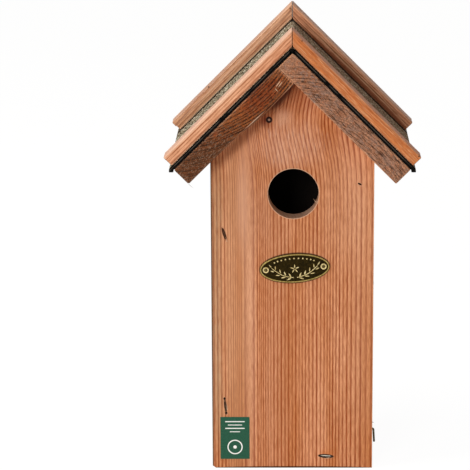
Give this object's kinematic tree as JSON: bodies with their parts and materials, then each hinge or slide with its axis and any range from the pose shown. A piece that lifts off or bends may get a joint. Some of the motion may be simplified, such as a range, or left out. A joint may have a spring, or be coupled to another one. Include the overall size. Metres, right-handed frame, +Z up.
{
  "type": "bird nest box",
  "caption": "Tall wooden nest box with a round entrance, a lapped pitched roof in mineral felt under mitred battens, and a side wall hung on nails that swings out for cleaning.",
  "frame": {"origin": "middle of the underside of the body, on the surface that the box stands on", "axes": "+Z up, -Y out of the front with the entrance, +X to the side with the hinged door"},
  "size_m": [0.2248, 0.175, 0.4073],
  "materials": {
    "front_panel_wood": "planed impregnated pine, orange brown",
    "back_panel_wood": "planed impregnated pine",
    "left_wall_wood": "planed impregnated pine",
    "side_door_wood": "planed impregnated pine",
    "floor_panel_wood": "planed impregnated pine",
    "roof_board_left_wood": "planed impregnated pine, dark end grain",
    "roof_board_right_wood": "planed impregnated pine, grey brown end grain",
    "front_batten_left_wood": "sawn and planed pine batten",
    "front_batten_right_wood": "sawn and planed pine batten",
    "rear_batten_left_wood": "sawn and planed pine batten",
    "rear_batten_right_wood": "sawn and planed pine batten",
    "mineral_felt": "grey green mineral grit on black bitumen felt",
    "staple_wire": "galvanised wire",
    "nail_steel": "bright steel nail",
    "brad_steel": "dull steel brad",
    "pivot_steel": "dull steel nail",
    "hook_wire": "darkened steel wire",
    "plate_brass": "pressed brass with a dark olive ground",
    "pin_brass": "bright brass",
    "label_card": "plain dark green card"
  },
  "bodies": {
    "box": {"front_panel": "front_panel_wood", "back_panel": "back_panel_wood", "left_wall": "left_wall_wood", "floor_panel": "floor_panel_wood", "roof_board_left": "roof_board_left_wood", "roof_board_right": "roof_board_right_wood", "front_batten_left": "front_batten_left_wood", "front_batten_right": "front_batten_right_wood", "rear_batten_left": "rear_batten_left_wood", "rear_batten_right": "rear_batten_right_wood", "roof_felt": "mineral_felt", "body_staples": "staple_wire", "roof_nails": "nail_steel", "batten_brads": "brad_steel", "pivot_nails": "pivot_steel", "name_plate": "plate_brass", "plate_pins": "pin_brass", "front_label": "label_card"},
    "door": {"side_door": "side_door_wood"},
    "hook": {"latch_hook": "hook_wire"}
  },
  "joints": [
    {"name": "door_swing", "type": "hinge", "parent": "box", "child": "door", "pos_m": [0.0596, 0, 0.265], "axis": [0, -1, 0], "range_deg": [0, 75]},
    {"name": "hook_turn", "type": "hinge", "parent": "box", "child": "hook", "pos_m": [0.0725, -0.0615, 0.034], "axis": [1, 0, 0], "range_deg": [0, 90]}
  ]
}
